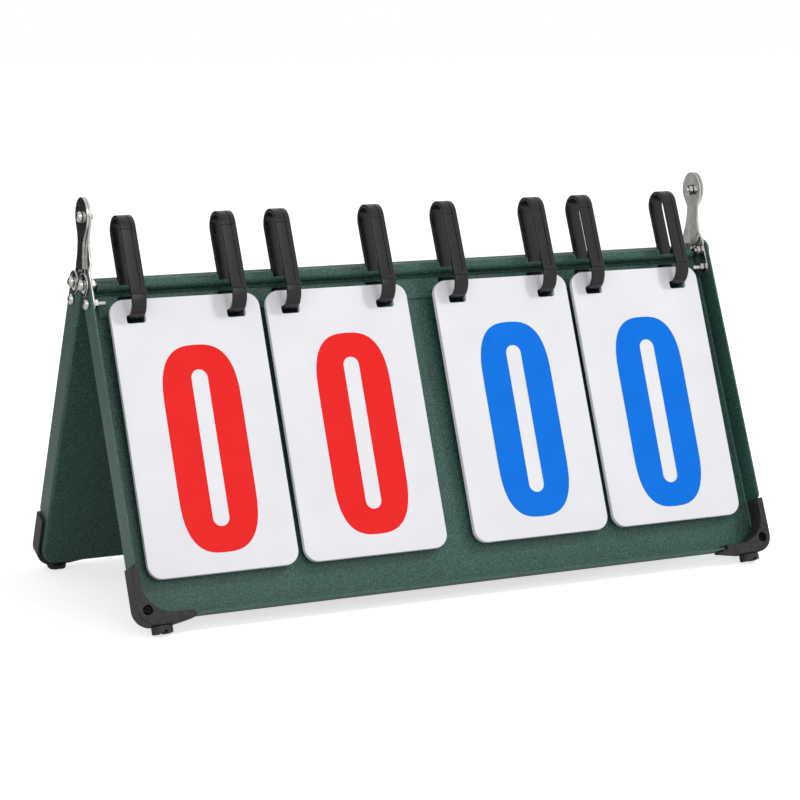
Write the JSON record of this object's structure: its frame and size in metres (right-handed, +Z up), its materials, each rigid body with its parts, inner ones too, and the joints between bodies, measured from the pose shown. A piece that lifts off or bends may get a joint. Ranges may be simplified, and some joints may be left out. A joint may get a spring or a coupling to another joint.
{
  "type": "flip scoreboard",
  "caption": "Folding tabletop flip scoreboard: hinged sheet-steel trays stand as an A-frame and hold white number cards that turn on wide rings.",
  "frame": {"origin": "centre of the footprint, on the floor under the feet", "axes": "+X along the hinge axis to the object's right as seen from its front, -Y to the front where the cards are, +Z up"},
  "size_m": [0.4088, 0.1806, 0.2261],
  "materials": {
    "powder_coated_steel": "dark green fine-textured powder coat",
    "zinc_plated_steel": "satin zinc plate",
    "moulded_nylon": "satin black moulded nylon",
    "moulded_plastic": "fine-grained black moulding",
    "rubber": "matt black rubber",
    "pvc_sheet": "white satin PVC sheet with printed numbers"
  },
  "bodies": {
    "front_frame": {"front_panel": "powder_coated_steel", "front_strap_left": "zinc_plated_steel", "front_upper_bolt_left": "zinc_plated_steel", "front_upper_nut_left": "zinc_plated_steel", "front_washer_left": "zinc_plated_steel", "front_lower_bolt_left": "zinc_plated_steel", "front_lower_nut_left": "zinc_plated_steel", "front_corner_guard_left": "moulded_plastic", "front_guard_screw_left": "zinc_plated_steel", "front_foot_left": "rubber", "front_strap_right": "zinc_plated_steel", "front_upper_bolt_right": "zinc_plated_steel", "front_upper_nut_right": "zinc_plated_steel", "front_washer_right": "zinc_plated_steel", "front_lower_bolt_right": "zinc_plated_steel", "front_lower_nut_right": "zinc_plated_steel", "front_corner_guard_right": "moulded_plastic", "front_guard_screw_right": "zinc_plated_steel", "front_foot_right": "rubber", "pivot_bolt_left": "zinc_plated_steel", "pivot_nut_left": "zinc_plated_steel", "pivot_bolt_right": "zinc_plated_steel", "pivot_nut_right": "zinc_plated_steel", "card_ring_1": "moulded_nylon", "card_ring_2": "moulded_nylon", "card_ring_3": "moulded_nylon", "card_ring_4": "moulded_nylon", "card_ring_5": "moulded_nylon", "card_ring_6": "moulded_nylon", "card_ring_7": "moulded_nylon", "card_ring_8": "moulded_nylon", "card_stack_1": "pvc_sheet", "card_stack_2": "pvc_sheet", "card_stack_3": "pvc_sheet", "card_stack_4": "pvc_sheet"},
    "rear_frame": {"rear_panel": "powder_coated_steel", "rear_strap_left": "zinc_plated_steel", "rear_upper_bolt_left": "zinc_plated_steel", "rear_upper_nut_left": "zinc_plated_steel", "rear_washer_left": "zinc_plated_steel", "rear_lower_bolt_left": "zinc_plated_steel", "rear_lower_nut_left": "zinc_plated_steel", "rear_corner_guard_left": "moulded_plastic", "rear_guard_screw_left": "zinc_plated_steel", "rear_foot_left": "rubber", "rear_strap_right": "zinc_plated_steel", "rear_upper_bolt_right": "zinc_plated_steel", "rear_upper_nut_right": "zinc_plated_steel", "rear_washer_right": "zinc_plated_steel", "rear_lower_bolt_right": "zinc_plated_steel", "rear_lower_nut_right": "zinc_plated_steel", "rear_corner_guard_right": "moulded_plastic", "rear_guard_screw_right": "zinc_plated_steel", "rear_foot_right": "rubber"},
    "card_1": {"front_card_1": "pvc_sheet"},
    "card_2": {"front_card_2": "pvc_sheet"},
    "card_3": {"front_card_3": "pvc_sheet"},
    "card_4": {"front_card_4": "pvc_sheet"}
  },
  "joints": [
    {"name": "frame_fold", "type": "hinge", "parent": "front_frame", "child": "rear_frame", "pos_m": [0, 0, 0.21539], "axis": [1, 0, 0], "range_deg": [0, 313.47]},
    {"name": "card_1_swing", "type": "hinge", "parent": "front_frame", "child": "card_1", "pos_m": [-0.1453, -0.01397, 0.17024], "axis": [1, 0, 0], "range_deg": [-70, 0]},
    {"name": "card_2_swing", "type": "hinge", "parent": "front_frame", "child": "card_2", "pos_m": [-0.0531, -0.01397, 0.17024], "axis": [1, 0, 0], "range_deg": [-70, 0]},
    {"name": "card_3_swing", "type": "hinge", "parent": "front_frame", "child": "card_3", "pos_m": [0.0531, -0.01397, 0.17024], "axis": [1, 0, 0], "range_deg": [-70, 0]},
    {"name": "card_4_swing", "type": "hinge", "parent": "front_frame", "child": "card_4", "pos_m": [0.1453, -0.01397, 0.17024], "axis": [1, 0, 0], "range_deg": [-70, 0]}
  ]
}
